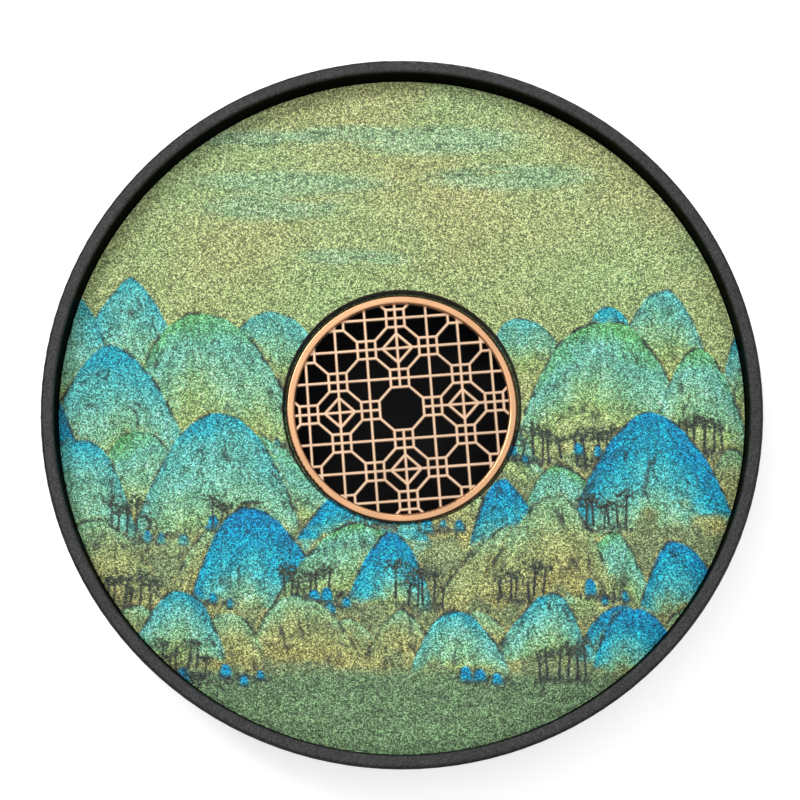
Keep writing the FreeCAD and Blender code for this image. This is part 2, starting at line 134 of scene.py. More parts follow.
class Print:
    """The printed colour at every point of the deck, laid on in layers of wash and ink."""

    def __init__(self, x, y):
        self.x = x
        self.y = y
        self.colour = np.zeros((len(x), 3))

    def near(self, left, right, low, high):
        """Indices of the points inside a box."""
        inside = (self.x > left) & (self.x < right) & (self.y > low) & (self.y < high)
        return np.nonzero(inside)[0]

    def lay(self, index, colour, cover):
        """Blend a colour over some points."""
        cover = np.clip(cover, 0.0, 1.0)[:, None]
        self.colour[index] += (np.asarray(colour) - self.colour[index]) * cover

    # -------------------------------------------------------------- sky and ground
    def silk(self):
        """Warm aged silk, cooler towards the horizon, with mottled olive ground below."""
        x, y = self.x, self.y
        everywhere = np.arange(len(x))
        self.lay(everywhere, SILK, np.ones(len(x)))
        cloudy = smooth(-0.5, 0.7, rough(x, 1.4 * y, 60.0, 11))
        self.lay(everywhere, COOL_SILK, 0.75 * cloudy)
        self.lay(everywhere, HORIZON, 0.6 * smooth(*HORIZON_HEIGHTS, y))
        low = smooth(*GROUND_HEIGHTS, y + 6.0 * noise(x, y, 40.0, 12))
        self.lay(everywhere, GROUND, low)
        patches = smooth(0.0, 0.8, rough(x, 1.6 * y, 26.0, 13)) * low
        self.lay(everywhere, DRY_GROUND, 0.75 * patches)
        dark = smooth(0.15, 0.9, rough(x, 1.6 * y, 20.0, 14)) * low
        self.lay(everywhere, DARK_GROUND, 0.6 * dark)

    def aged(self):
        """Uneven tone over everything: cloudy patches, and pigment rubbed thin in small flakes."""
        x, y = self.x, self.y
        cloudy = 1.0 + 0.05 * rough(x, y, 16.0, 15) + 0.04 * noise(x, y, 3.2, 16)
        self.colour *= cloudy[:, None]
        flakes = smooth(0.35, 0.8, rough(x, y, 4.5, 17)) * smooth(0.0, 0.5, noise(x, y, 30.0, 18))
        self.lay(np.arange(len(x)), RUBBED, 0.30 * flakes)

    def streaks(self, middle, reach, rise, colour, share, size, seed, strength, long=9.0):
        """Long soft brush marks round a middle point, fading towards the ends of their reach."""
        index, x, across, inside = self.oval(middle, reach, rise)
        wave = rough(x / long, across, size, seed, 3)
        mark = smooth(1.0 - share, 1.15 - share, 0.5 + 0.5 * wave)
        self.lay(index, colour, strength * mark * inside)

    def lines(self, middle, reach, rise, colour, size, seed, strength, long=7.0):
        """Fine flowing brush lines round a middle point, broken here and there."""
        index, x, across, inside = self.oval(middle, reach, rise)
        wave = rough(x / long, across, size, seed, 2)
        broken = smooth(-0.1, 0.5, noise(x / 4.0, across, 5.0, seed + 1))
        self.lay(index, colour, strength * smooth(0.13, 0.03, np.abs(wave)) * broken * inside)

    def oval(self, middle, reach, rise):
        """Points of a tilted oval, their place along and across it, and how far inside they are."""
        high = reach[1] + abs(rise) * reach[0]
        index = self.near(middle[0] - reach[0], middle[0] + reach[0], middle[1] - high, middle[1] + high)
        x = self.x[index] - middle[0]
        across = self.y[index] - middle[1] - rise * x
        return index, x, across, smooth(1.0, 0.45, np.hypot(x / reach[0], across / reach[1]))

    def undergrowth(self, middle, reach, seed, strength=0.5, size=1.5):
        """Dark scribbled ground cover in an oval patch, thicker in some places."""
        index, _, _, inside = self.oval(middle, reach, 0.0)
        x, y = self.x[index], self.y[index]
        tuft = smooth(0.10, 0.55, rough(x, 0.6 * y, size, seed, 2) + 0.25 * noise(x, y, 9.0, seed + 4))
        thick = smooth(-0.35, 0.5, noise(x, 1.5 * y, 14.0, seed + 5))
        self.lay(index, INK, strength * tuft * thick * inside)

    # -------------------------------------------------------------- hills and rocks
    def hill(self, left, top, right, hues, seed, bulge=(2.0, 2.0), foot=None, ripple=1.0, lean=0.0,
             ink=0.5, gold=0.0, folds=0.6, fade=0.35, mottle=0.14):
        """A hill with its crest through three (x, y) points, coloured from the crest down.

        bulge shapes each flank: 1 is straight, 2 a dome, 3 boxy, below 1 drawn out to a tail.
        lean turns the wash so that it changes towards the right too.  folds are creases down the
        slope, and gold is a fine ochre line along the crest.
        """
        foot = min(left[1], right[1]) if foot is None else foot
        index = self.near(left[0], right[0], foot - 6.0, top[1] + 4.0)
        x, y = self.x[index], self.y[index]
        height = top[1] - foot

        def crest_at(place):
            on_left = np.clip((top[0] - place) / (top[0] - left[0]), 0.0, 1.0)
            on_right = np.clip((place - top[0]) / (right[0] - top[0]), 0.0, 1.0)
            drop = (top[1] - left[1]) * on_left ** bulge[0] + (top[1] - right[1]) * on_right ** bulge[1]
            return top[1] - drop + ripple * rough(place, 0.0 * place, 9.0, seed, 4)

        crest = crest_at(x)
        steep = np.hypot(1.0, crest_at(x + 0.5) - crest_at(x - 0.5))
        below = (crest - y) / steep
        down = 0.55 * (crest - y) / height + 0.45 * (top[1] - y) / height
        cloud = rough(x, y, 0.4 * height + 2.0, seed + 7)
        sideways = lean * (x - top[0]) / (right[0] - left[0])
        tone = down + mottle * cloud + 0.05 * noise(x, y, 2.6, seed + 8) + sideways
        stops = np.linspace(0.0, 1.0, len(hues))
        wash = np.stack([np.interp(tone, stops, [hue[part] for hue in hues]) for part in range(3)], 1)

        fan = (x - top[0]) / (0.30 * height + np.maximum(top[1] - y, 0.0)) * height
        crease = noise(fan + 2.2 * noise(x, y, 6.0, seed + 20), 0.30 * y, 6.0, seed + 21)
        shade = 1.0 + 0.10 * rough(x, y, 6.0, seed + 3)
        shade = shade + 0.15 * folds * smooth(-0.6, 0.6, crease) - 0.08 * folds
        wash = np.clip(wash * shade[:, None], 0.0, 1.0)

        cover = smooth(-0.4, 0.4, below)
        ragged = foot + fade * height * (0.35 + 0.6 * noise(x, y, 9.0, seed + 9))
        ends = smooth(0.0, 2.5, x - left[0]) * smooth(0.0, 2.5, right[0] - x)
        cover = cover * ends * smooth(-0.5, 0.5, (y - ragged) / (0.5 * fade * height + 1.0))
        dotted = smooth(-0.3, 0.4, noise(x, y, 2.4, seed + 16))
        self.lay(index, GOLD, gold * smooth(1.5, 0.2, np.abs(below + 0.8)) * ends * dotted)
        self.colour[index] += (wash - self.colour[index]) * cover[:, None]
        thin = smooth(0.17, 0.03, np.abs(crease)) * smooth(-0.2, 0.5, rough(x, y, 9.0, seed + 5))
        self.lay(index, INK, 0.75 * folds * thin * cover * smooth(0.05, 0.15, down))
        broken = smooth(-0.4, 0.5, noise(x, y, 6.0, seed + 15))
        edge = smooth(1.1, 0.2, np.abs(below - 0.1 - 0.5 * noise(x, y, 3.0, seed + 14))) * broken * ends
        self.lay(index, INK, ink * edge * smooth(foot - 1.0, foot + 4.0, y))

    def rock(self, x, y, width, height, hues, seed, ink=0.8):
        """A small rounded rock standing at (x, y)."""
        half = width / 2
        self.hill((x - half, y), (x - 0.1 * half, y + height), (x + half, y), hues, seed, bulge=(2.6, 2.2),
                  foot=y - 1.0, ripple=0.7, ink=ink, folds=0.5, fade=0.25)
        self.lay(*self.edge_shadow(x, y, half))

    def edge_shadow(self, x, y, half):
        """Index, colour and cover of the short dark stroke under a rock."""
        index = self.near(x - half, x + half, y - 1.6, y + 0.8)
        away = np.hypot((self.x[index] - x) / half, (self.y[index] - y + 0.4) / 1.1)
        return index, INK, 0.55 * smooth(1.0, 0.4, away)

    def stones(self, start, end, count, size, hues, seed, ink=0.6):
        """A row of rocks between two points, sized and placed a little unevenly."""
        rng = np.random.default_rng(seed)
        for number in range(count):
            share = number / max(count - 1, 1)
            x = start[0] + share * (end[0] - start[0]) + rng.uniform(-0.25, 0.25) * size
            y = start[1] + share * (end[1] - start[1]) + rng.uniform(-0.35, 0.35) * size
            width = size * rng.uniform(0.75, 1.3)
            self.rock(x, y, width, width * rng.uniform(0.6, 0.95), hues, seed + number, ink)

    # -------------------------------------------------------------- plants and halls
    def scrub(self, start, end, thick, seed, strength=0.75):
        """Dark tufts of low growth along a line, with short upright ticks."""
        (x0, y0), (x1, y1) = start, end
        index = self.near(min(x0, x1) - thick, max(x0, x1) + thick, min(y0, y1) - thick, max(y0, y1) + thick)
        x, y = self.x[index], self.y[index]
        length = math.hypot(x1 - x0, y1 - y0)
        along = ((x - x0) * (x1 - x0) + (y - y0) * (y1 - y0)) / length
        aside = ((x - x0) * (y1 - y0) - (y - y0) * (x1 - x0)) / length
        away = np.hypot(aside, along - np.clip(along, 0.0, length)) / thick
        tufts = smooth(-0.05, 0.30, rough(x, 0.75 * y, 1.7, seed, 2) + 0.40 - 0.8 * away)
        ticks = smooth(0.1, 0.4, noise(x, 0.3 * y, 0.9, seed + 2) - 0.2)
        self.lay(index, INK, strength * (0.75 * tufts + 0.35 * ticks) * smooth(1.0, 0.5, away))

    def stem(self, start, end, width, strength=0.8):
        """A thin straight stroke from low to high."""
        (x0, y0), (x1, y1) = start, end
        index = self.near(min(x0, x1) - 1.5, max(x0, x1) + 1.5, y0, y1)
        middle = x0 + (x1 - x0) * (self.y[index] - y0) / (y1 - y0)
        self.lay(index, INK, strength * smooth(width, 0.3 * width, np.abs(self.x[index] - middle)))

    def crown(self, x0, y0, size, seed, strength=0.75):
        """A ragged cloud of leaf dabs, wider than tall."""
        index = self.near(x0 - 1.5 * size, x0 + 1.5 * size, y0 - size, y0 + size)
        x, y = self.x[index], self.y[index]
        away = np.hypot((x - x0) / (1.3 * size), (y - y0) / (0.75 * size))
        dabs = smooth(-0.05, 0.35, rough(x, y, 1.5, seed, 2) + 0.42 - 0.6 * away)
        self.lay(index, LEAF, strength * dabs * smooth(1.05, 0.5, away))

    def grove(self, left, right, foot, height, count, seed, strength=0.8):
        """A stand of thin trees with ragged dark crowns."""
        rng = np.random.default_rng(seed)
        for number, place in enumerate(np.linspace(left, right, count)):
            x = place + rng.uniform(-1.2, 1.2)
            low = foot + rng.uniform(-2.5, 2.5)
            tall = height * rng.uniform(0.6, 1.15)
            self.stem((x, low), (x + rng.uniform(-1.2, 1.2), low + tall), rng.uniform(0.65, 0.95), strength)
            self.crown(x, low + tall, 0.34 * tall + 1.0, seed + number, strength)


# ================================================================ painting: a made-up valley
# The scene is invented: rows of hills from seeded random draws, rising to both sides of the grate.
BLUE_HILL = [AZURITE[0], AZURITE[1], TEAL[0], TEAL[1], JADE[1], EARTH[1]]
TEAL_HILL = [TEAL[0], TEAL[1], JADE[0], JADE[1], JADE[2], EARTH[1]]
GREEN_HILL = [EMERALD[1], JADE[0], JADE[1], JADE[2], EARTH[0], EARTH[1]]
EARTH_HILL = [JADE[1], EARTH[0], EARTH[1], EARTH[2]]
MISTY_HILL = [TEAL[1], JADE[2], EARTH[1]]
HALF_SCENE = 150.0          # the rows of hills reach this far to each side
SHORE = -112.0              # where the nearest hills meet the water
VALLEY_WIDTH = 95.0         # distance from the middle at which the hills are at full height


def valley_side(x, lowest):
    """Share of a row's full height at x: lowest in the middle of the valley, 1 at its sides."""
    return lowest + (1.0 - lowest) * smooth(0.0, VALLEY_WIDTH, abs(x))


def hill_row(art, foot, height, width, families, seed, lowest=0.5, ink=0.8, gold=0.3):
    """A row of overlapping hills right across the deck, in a shuffled order."""
    rng = np.random.default_rng(seed)
    places = rng.permutation(np.arange(-HALF_SCENE, HALF_SCENE, 0.66 * width))
    for number, place in enumerate(places):
        middle = place + rng.uniform(-0.2, 0.2) * width
        size = rng.uniform(0.6, 1.4)
        half = 0.55 * width * size
        tall = height * rng.uniform(0.55, 0.75) * (0.5 + size) * valley_side(middle, lowest)
        base = foot + rng.uniform(-0.14, 0.14) * height
        left = (middle - half, base - 4.0)
        right = (middle + half, base - 4.0)
        top = (middle + rng.uniform(-0.3, 0.3) * half, base + tall)
        hues = families[rng.integers(len(families))]
        bulge = tuple(rng.uniform(1.4, 2.5, 2))
        lean = rng.uniform(-0.15, 0.15)
        art.hill(left, top, right, hues, seed + 30 * number, bulge=bulge, foot=base - 6.0,
                 ripple=1.3, lean=lean, ink=ink, gold=gold, folds=0.9, mottle=0.2)


def growth_row(art, foot, rise, count, seed):
    """Ground cover, groves and a few stones scattered along the feet of a row of hills."""
    rng = np.random.default_rng(seed)
    for number in range(count):
        x = rng.uniform(-0.9, 0.9) * HALF_SCENE
        y = foot + rng.uniform(-0.5, 0.5) * rise
        reach = (rng.uniform(20.0, 38.0), rng.uniform(7.0, 12.0))
        art.undergrowth((x, y - 3.0), reach, seed + 20 * number + 5, 0.8)
        art.scrub((x - 9.0, y), (x + 9.0, y + rng.uniform(-3.0, 3.0)), 3.6, seed + 20 * number, 0.85)
        if number % 2:
            art.grove(x - 9.0, x + 9.0, y, 13.0, 6, seed + 20 * number + 1, 0.95)
        else:
            art.stones((x - 7.0, y), (x + 7.0, y - 2.0), 3, 5.5, BLUE_HILL[:3], seed + 20 * number + 10, 0.6)


def drifting_cloud(art, seed):
    """A few soft cloud bands and fine lines across the sky."""
    rng = np.random.default_rng(seed)
    for number in range(7):
        middle = (rng.uniform(-80.0, 80.0), rng.uniform(62.0, 122.0))
        reach = (rng.uniform(30.0, 55.0), rng.uniform(5.0, 9.0))
        rise = rng.uniform(-0.05, 0.05)
        art.streaks(middle, reach, rise, CLOUD, 0.8, 5.0, seed + number, 0.6)
        art.lines(middle, reach, 0.0, CLOUD_LINE, 2.8, seed + 10 + number, 0.75)


def valley_mist(art, y, seed):
    """A pale band of mist lying between two rows of hills."""
    art.streaks((0.0, y), (HALF_SCENE, 9.0), 0.0, MIST, 0.7, 8.0, seed, 0.55, long=12.0)


def near_water(art):
    """Green water along the bottom with darker ripples."""
    index = art.near(-HALF_SCENE, HALF_SCENE, -HALF_SCENE, SHORE + 20.0)
    x, y = art.x[index], art.y[index]
    shore = SHORE + 2.5 * noise(x, y, 22.0, 280)
    art.lay(index, WATER, smooth(3.0, -3.0, y - shore))
    art.lines((0.0, SHORE - 14.0), (110.0, 14.0), 0.0, RIPPLE, 3.0, 281, 0.55, long=6.0)
    art.streaks((0.0, SHORE - 20.0), (110.0, 14.0), 0.0, PALE_WATER, 0.55, 5.0, 283, 0.4)


def landscape(x, y):
    """The whole printed scene in sRGB, from the far distance to the near water."""
    art = Print(x, y)
    art.silk()
    drifting_cloud(art, 400)
    hill_row(art, 6.0, 46.0, 50.0, [MISTY_HILL, TEAL_HILL], 500, lowest=0.35, ink=0.45, gold=0.1)
    valley_mist(art, 8.0, 600)
    hill_row(art, -24.0, 54.0, 58.0, [BLUE_HILL, TEAL_HILL, GREEN_HILL], 1000, lowest=0.45)
    growth_row(art, -22.0, 8.0, 7, 1600)
    hill_row(art, -54.0, 40.0, 50.0, [GREEN_HILL, EARTH_HILL, BLUE_HILL, TEAL_HILL], 2000, lowest=0.7)
    growth_row(art, -54.0, 8.0, 9, 2600)
    valley_mist(art, -58.0, 2900)
    hill_row(art, -84.0, 34.0, 46.0, [BLUE_HILL, GREEN_HILL, EARTH_HILL, TEAL_HILL], 3000, lowest=0.9)
    growth_row(art, -84.0, 8.0, 8, 3600)
    hill_row(art, -106.0, 20.0, 32.0, [EARTH_HILL, TEAL_HILL, BLUE_HILL], 4000, lowest=1.0)
    near_water(art)
    growth_row(art, SHORE, 5.0, 6, 4600)
    art.aged()
    return np.clip(art.colour, 0.0, 1.0)


# ================================================================ meshes
def linear(srgb):
    """Linear colour from sRGB, for numpy arrays or single colours."""
    srgb = np.asarray(srgb, float)
    return np.where(srgb <= 0.04045, srgb / 12.92, ((srgb + 0.055) / 1.055) ** 2.4)


def arc(radius, height, size, start, end, steps=4):
    """Points of a small round in the (radius, height) plane, angles in degrees."""
    angles = np.radians(np.linspace(start, end, steps + 1))
    return [(radius + size * math.cos(angle), height + size * math.sin(angle)) for angle in angles]


def band(first, first_count, second, second_count):
    """Triangles between two rings of vertices, whose counts match or differ by a factor of two."""
    if first_count > second_count:
        return band(second, second_count, first, first_count)[:, ::-1]
    here = np.arange(first_count)
    ahead = (here + 1) % first_count
    if first_count == second_count:
        return np.concatenate([
            np.stack([first + here, first + ahead, second + ahead], 1),
            np.stack([first + here, second + ahead, second + here], 1),
        ])
    start = second + 2 * here
    middle = second + 2 * here + 1
    end = second + 2 * ahead
    return np.concatenate([
        np.stack([first + here, middle, start], 1),
        np.stack([first + here, first + ahead, middle], 1),
        np.stack([first + ahead, end, middle], 1),
    ])


def turned_mesh(name, rings):
    """Closed surface turned about Z from a loop of (radius, height, count) rings, in millimetres."""
    points = []
    starts = []
    total = 0
    for radius, height, count in rings:
        angle = np.arange(count) * 2.0 * math.pi / count
        points.append(np.stack([radius * np.cos(angle), radius * np.sin(angle), np.full(count, height)], 1))
        starts.append(total)
        total += count
    faces = []
    for number, (_, _, count) in enumerate(rings):
        following = (number + 1) % len(rings)
        faces.append(band(starts[number], count, starts[following], rings[following][2]))
    points = np.concatenate(points)
    faces = np.concatenate(faces)
    mesh = bpy.data.meshes.new(name)
    mesh.vertices.add(len(points))
    mesh.vertices.foreach_set("co", (points * MM).astype(np.float32).ravel())
    mesh.loops.add(faces.size)
    mesh.loops.foreach_set("vertex_index", faces.astype(np.int32).ravel())
    mesh.polygons.add(len(faces))
    mesh.polygons.foreach_set("loop_start", np.arange(0, faces.size, 3, dtype=np.int32))
    mesh.update(calc_edges=True)
    mesh.validate()
    return mesh, points, faces


FINE_SPACING = 0.55           # mm between rings of the printed surface
FINE_COUNT = 1440             # vertices round the deck
FINE_INNER = 75.0             # inside this radius half as many do
SAND_RELIEF = 0.05            # mm height of the sand grains
TINY = 0.01                   # mm, for telling which ring a height belongs to


def deck_rings():
    """Loop of rings: edge, printed top, recess, opening and underside."""
    half_count = FINE_COUNT // 2
    top_inner = RECESS_RADIUS + EDGE_ROUND
    outer = [(DECK_RADIUS, DECK_BOTTOM + EDGE_ROUND), (DECK_RADIUS, DECK_TOP - EDGE_ROUND)]
    outer += arc(DECK_RADIUS - EDGE_ROUND, DECK_TOP - EDGE_ROUND, EDGE_ROUND, 0, 90)[1:]
    top = np.arange(DECK_RADIUS - EDGE_ROUND - FINE_SPACING, top_inner, -FINE_SPACING)
    rings = [(radius, height, FINE_COUNT) for radius, height in outer]
    for radius in top:
        rings.append((radius, DECK_TOP, FINE_COUNT if radius > FINE_INNER else half_count))
    recess = arc(top_inner, DECK_TOP - EDGE_ROUND, EDGE_ROUND, 90, 180)
    recess += [(RECESS_RADIUS, (DECK_TOP + RECESS_FLOOR) / 2), (RECESS_RADIUS, RECESS_FLOOR)]
    floor_radii = np.linspace(RECESS_RADIUS, OPENING_RADIUS + EDGE_ROUND, 6)[1:]
    recess += [(radius, RECESS_FLOOR) for radius in floor_radii]
    recess += arc(OPENING_RADIUS + EDGE_ROUND, RECESS_FLOOR - EDGE_ROUND, EDGE_ROUND, 90, 180)[1:]
    recess += arc(OPENING_RADIUS + EDGE_ROUND, DECK_BOTTOM + EDGE_ROUND, EDGE_ROUND, 180, 270)
    rings += [(radius, height, half_count) for radius, height in recess]
    rings += [(radius, DECK_BOTTOM, half_count) for radius in (70.0, 95.0, 120.0)]
    lower_edge = arc(DECK_RADIUS - EDGE_ROUND, DECK_BOTTOM + EDGE_ROUND, EDGE_ROUND, 270, 360)[:-1]
    rings += [(radius, height, FINE_COUNT) for radius, height in lower_edge]
    return rings


def printed_deck():
    """The deck with its print held as a colour at every vertex, and real sand relief on top."""
    mesh, points, faces = turned_mesh("printed_deck", deck_rings())
    x, y, height = points.T
    colour = np.ones((len(points), 4), np.float32)
    radius = np.hypot(x, y)
    # Painted shade: the print on the recess floor is darkened nearly to black next to the recess wall, where
    # the wall's shade falls.
    corner = smooth(RECESS_RADIUS - 1.4, RECESS_RADIUS - 0.6, radius) * (height < DECK_TOP - 1.0)
    colour[:, :3] = linear(landscape(x, y)) * (1.0 - 0.93 * corner)[:, None]
    attribute = mesh.color_attributes.new("print", "FLOAT_COLOR", "POINT")
    attribute.data.foreach_set("color", colour.ravel())
    on_top = height > DECK_TOP - TINY
    grains = np.random.default_rng(5).uniform(-SAND_RELIEF, 0.0, len(points))
    points[:, 2] += np.where(on_top, grains, 0.0)
    mesh.vertices.foreach_set("co", (points * MM).astype(np.float32).ravel())
    deck = bpy.data.objects.new("printed_deck", mesh)
    bpy.context.scene.collection.objects.link(deck)
    level = points[faces][:, :, 2]
    on_surface = level.min(1) > DECK_TOP - 0.5
    on_recess_floor = (level.min(1) > RECESS_FLOOR - TINY) & (level.max(1) < RECESS_FLOOR + TINY)
    printed = on_surface | on_recess_floor
    mesh.polygons.foreach_set("material_index", np.where(printed, 0, 1).astype(np.int32))
    mesh.polygons.foreach_set("use_smooth", np.ones(len(faces), bool))
    mesh.update()
    return deck


# ================================================================ materials
class Shader:
    """A Principled material whose inputs are driven by nodes.  Sizes are in millimetres."""

    def __init__(self, name):
        self.material = bpy.data.materials.new(name)
        self.material.use_nodes = True
        self.tree = self.material.node_tree
        self.surface = self.tree.nodes["Principled BSDF"]
        place = self.add("ShaderNodeTexCoord")
        scaled = self.add("ShaderNodeVectorMath", operation="SCALE")
        scaled.inputs["Scale"].default_value = 1.0 / MM
        self.link(place.outputs["Object"], scaled.inputs[0])
        self.place = scaled.outputs[0]

    def add(self, kind, **settings):
        node = self.tree.nodes.new(kind)
        for name, value in settings.items():
            setattr(node, name, value)
        return node

    def link(self, value, socket):
        """Feed a socket from another node's output, a number or a colour."""
        if isinstance(value, bpy.types.NodeSocket):
            self.tree.links.new(value, socket)
        elif isinstance(value, (tuple, list)) and len(value) == 3 and socket.type == "RGBA":
            socket.default_value = (*value, 1.0)
        else:
            socket.default_value = value

    def set(self, **values):
        """Feed the surface's inputs, named with underscores for spaces."""
        for name, value in values.items():
            self.link(value, self.surface.inputs[name.replace("_", " ")])

    def stretched(self, x=1.0, y=1.0, z=1.0, place=None):
        """Coordinates scaled along each axis."""
        node = self.add("ShaderNodeMapping")
        node.inputs["Scale"].default_value = (x, y, z)
        self.link(place or self.place, node.inputs["Vector"])
        return node.outputs[0]

    def noise(self, size, detail=3.0, place=None, roughness=0.5, distortion=0.0):
        """Noise of 0 to 1 with features of a size."""
        node = self.add("ShaderNodeTexNoise")
        node.inputs["Scale"].default_value = 1.0 / size
        node.inputs["Detail"].default_value = detail
        node.inputs["Roughness"].default_value = roughness
        node.inputs["Distortion"].default_value = distortion
        self.link(place or self.place, node.inputs["Vector"])
        return node.outputs["Fac"]

    def grains(self, size, place=None, feature="F1", output="Color"):
        """Cells of a size: a random colour for each, or the distance to its middle or edge."""
        node = self.add("ShaderNodeTexVoronoi", feature=feature)
        node.inputs["Scale"].default_value = 1.0 / size
        self.link(place or self.place, node.inputs["Vector"])
        return node.outputs[output]

    def maths(self, operation, first, second=0.0, clamp=False):
        node = self.add("ShaderNodeMath", operation=operation, use_clamp=clamp)
        self.link(first, node.inputs[0])
        self.link(second, node.inputs[1])
        return node.outputs[0]

    def range(self, value, low, high, to_low=0.0, to_high=1.0):
        """Straight-line change of range, clamped."""
        node = self.add("ShaderNodeMapRange")
        names = ("Value", "From Min", "From Max", "To Min", "To Max")
        for name, number in zip(names, (value, low, high, to_low, to_high)):
            self.link(number, node.inputs[name])
        return node.outputs[0]

    def mix(self, factor, first, second, blend="MIX"):
        node = self.add("ShaderNodeMix", data_type="RGBA", blend_type=blend)
        self.link(factor, node.inputs["Factor"])
        self.link(first, node.inputs[6])
        self.link(second, node.inputs[7])
        return node.outputs[2]

    def brighten(self, colour, factor):
        """A colour multiplied by a grey value."""
        node = self.add("ShaderNodeVectorMath", operation="SCALE")
        self.link(colour, node.inputs[0])
        self.link(factor, node.inputs["Scale"])
        return node.outputs[0]

    def at_most(self, colour, highest):
        """A colour with each channel held down to a highest value."""
        node = self.add("ShaderNodeVectorMath", operation="MINIMUM")
        self.link(colour, node.inputs[0])
        node.inputs[1].default_value = (highest, highest, highest)
        return node.outputs[0]

    def split(self, value):
        node = self.add("ShaderNodeSeparateXYZ")
        self.link(value, node.inputs[0])
        return node.outputs

    def bump(self, height, distance, strength=1.0, under=None):
        """Relief from a height of 0 to 1, over a distance in millimetres."""
        node = self.add("ShaderNodeBump")
        node.inputs["Strength"].default_value = strength
        node.inputs["Distance"].default_value = distance * MM
        self.link(height, node.inputs["Height"])
        if under is not None:
            self.link(under, node.inputs["Normal"])
        return node.outputs[0]

    def distance_from_axis(self):
        """Radius from the tray's axis in millimetres."""
        x, y, _ = self.split(self.place)
        flat = self.add("ShaderNodeCombineXYZ")
        self.link(x, flat.inputs[0])
        self.link(y, flat.inputs[1])
        length = self.add("ShaderNodeVectorMath", operation="LENGTH")
        self.link(flat.outputs[0], length.inputs[0])
        return length.outputs["Value"]


PRINT_STRENGTH = 0.69         # print colours are as seen in studio light, so the pigment itself is darker
GRAIN_SIZE = 0.44             # mm
GRAIN_CONTRAST = 11.5         # the lightest grains are this many times as light as the darkest
BRIGHTEST_GRAIN = 0.85        # no channel of a grain is lighter than this


def sand_print():
    """The print on its sandy ground: each grain has its own lightness, tilt and shine."""
    shader = Shader("sand_print")
    printed = shader.add("ShaderNodeAttribute", attribute_name="print")
    coarse = shader.split(shader.grains(GRAIN_SIZE))[0]
    fine = shader.split(shader.grains(0.75 * GRAIN_SIZE))[1]
    spread = shader.maths("POWER", GRAIN_CONTRAST, shader.maths("SUBTRACT", coarse, 0.5))
    lightness = shader.maths("MULTIPLY", spread, shader.range(fine, 0.0, 1.0, 0.80, 1.20))
    colour = shader.brighten(printed.outputs["Color"], lightness)
    colour = shader.brighten(colour, PRINT_STRENGTH)
    colour = shader.at_most(colour, BRIGHTEST_GRAIN)
    relief = shader.bump(shader.maths("ADD", coarse, fine), 0.10, 0.8)
    roughness = shader.range(fine, 0.0, 1.0, 0.55, 0.9)
    shader.set(Base_Color=colour, Roughness=roughness, Normal=relief, Specular_IOR_Level=0.35)
    return shader.material


SPECKLE_SIZE = 0.62           # mm
SPECKLE = 0.55                # share by which a speck is lighter or darker than the plastic


def dark_plastic(name, colour, grain, roughness):
    """Moulded plastic with a leather-like grain whose grooves are darkened as painted shade, so that the
    raised spots look lighter.
    """
    shader = Shader(name)
    wander = shader.noise(6.0, detail=2.0)
    cells = shader.grains(grain, feature="DISTANCE_TO_EDGE", output="Distance")
    pits = shader.range(cells, 0.0, 0.22)
    fine = shader.noise(0.5 * grain, detail=4.0)
    height = shader.maths("ADD", pits, shader.range(fine, 0.3, 0.7, -0.25, 0.25))
    darker = tuple(0.88 * part for part in colour)
    lighter = tuple(1.12 * part for part in colour)
    tone = shader.mix(shader.range(wander, 0.35, 0.65), darker, lighter)
    # Painted shade: the grooves between the grain's raised cells are darkened towards black.
    tone = shader.mix(shader.range(pits, 0.0, 1.0, 0.35, 0.0), tone, (0.01, 0.01, 0.011))
    speckle = shader.split(shader.grains(SPECKLE_SIZE))[2]
    tone = shader.brighten(tone, shader.range(speckle, 0.0, 1.0, 1.0 - SPECKLE, 1.0 + SPECKLE))
    shader.set(Base_Color=tone, Normal=shader.bump(height, 0.10, 0.7), Specular_IOR_Level=0.5,
               Roughness=shader.range(fine, 0.2, 0.8, roughness - 0.08, roughness + 0.1))
    return shader


SIDE_PAINTED_SHADE = 0.55          # painted shade: lightness of the tray's outer wall and the rim's outer edge against the top of its rim
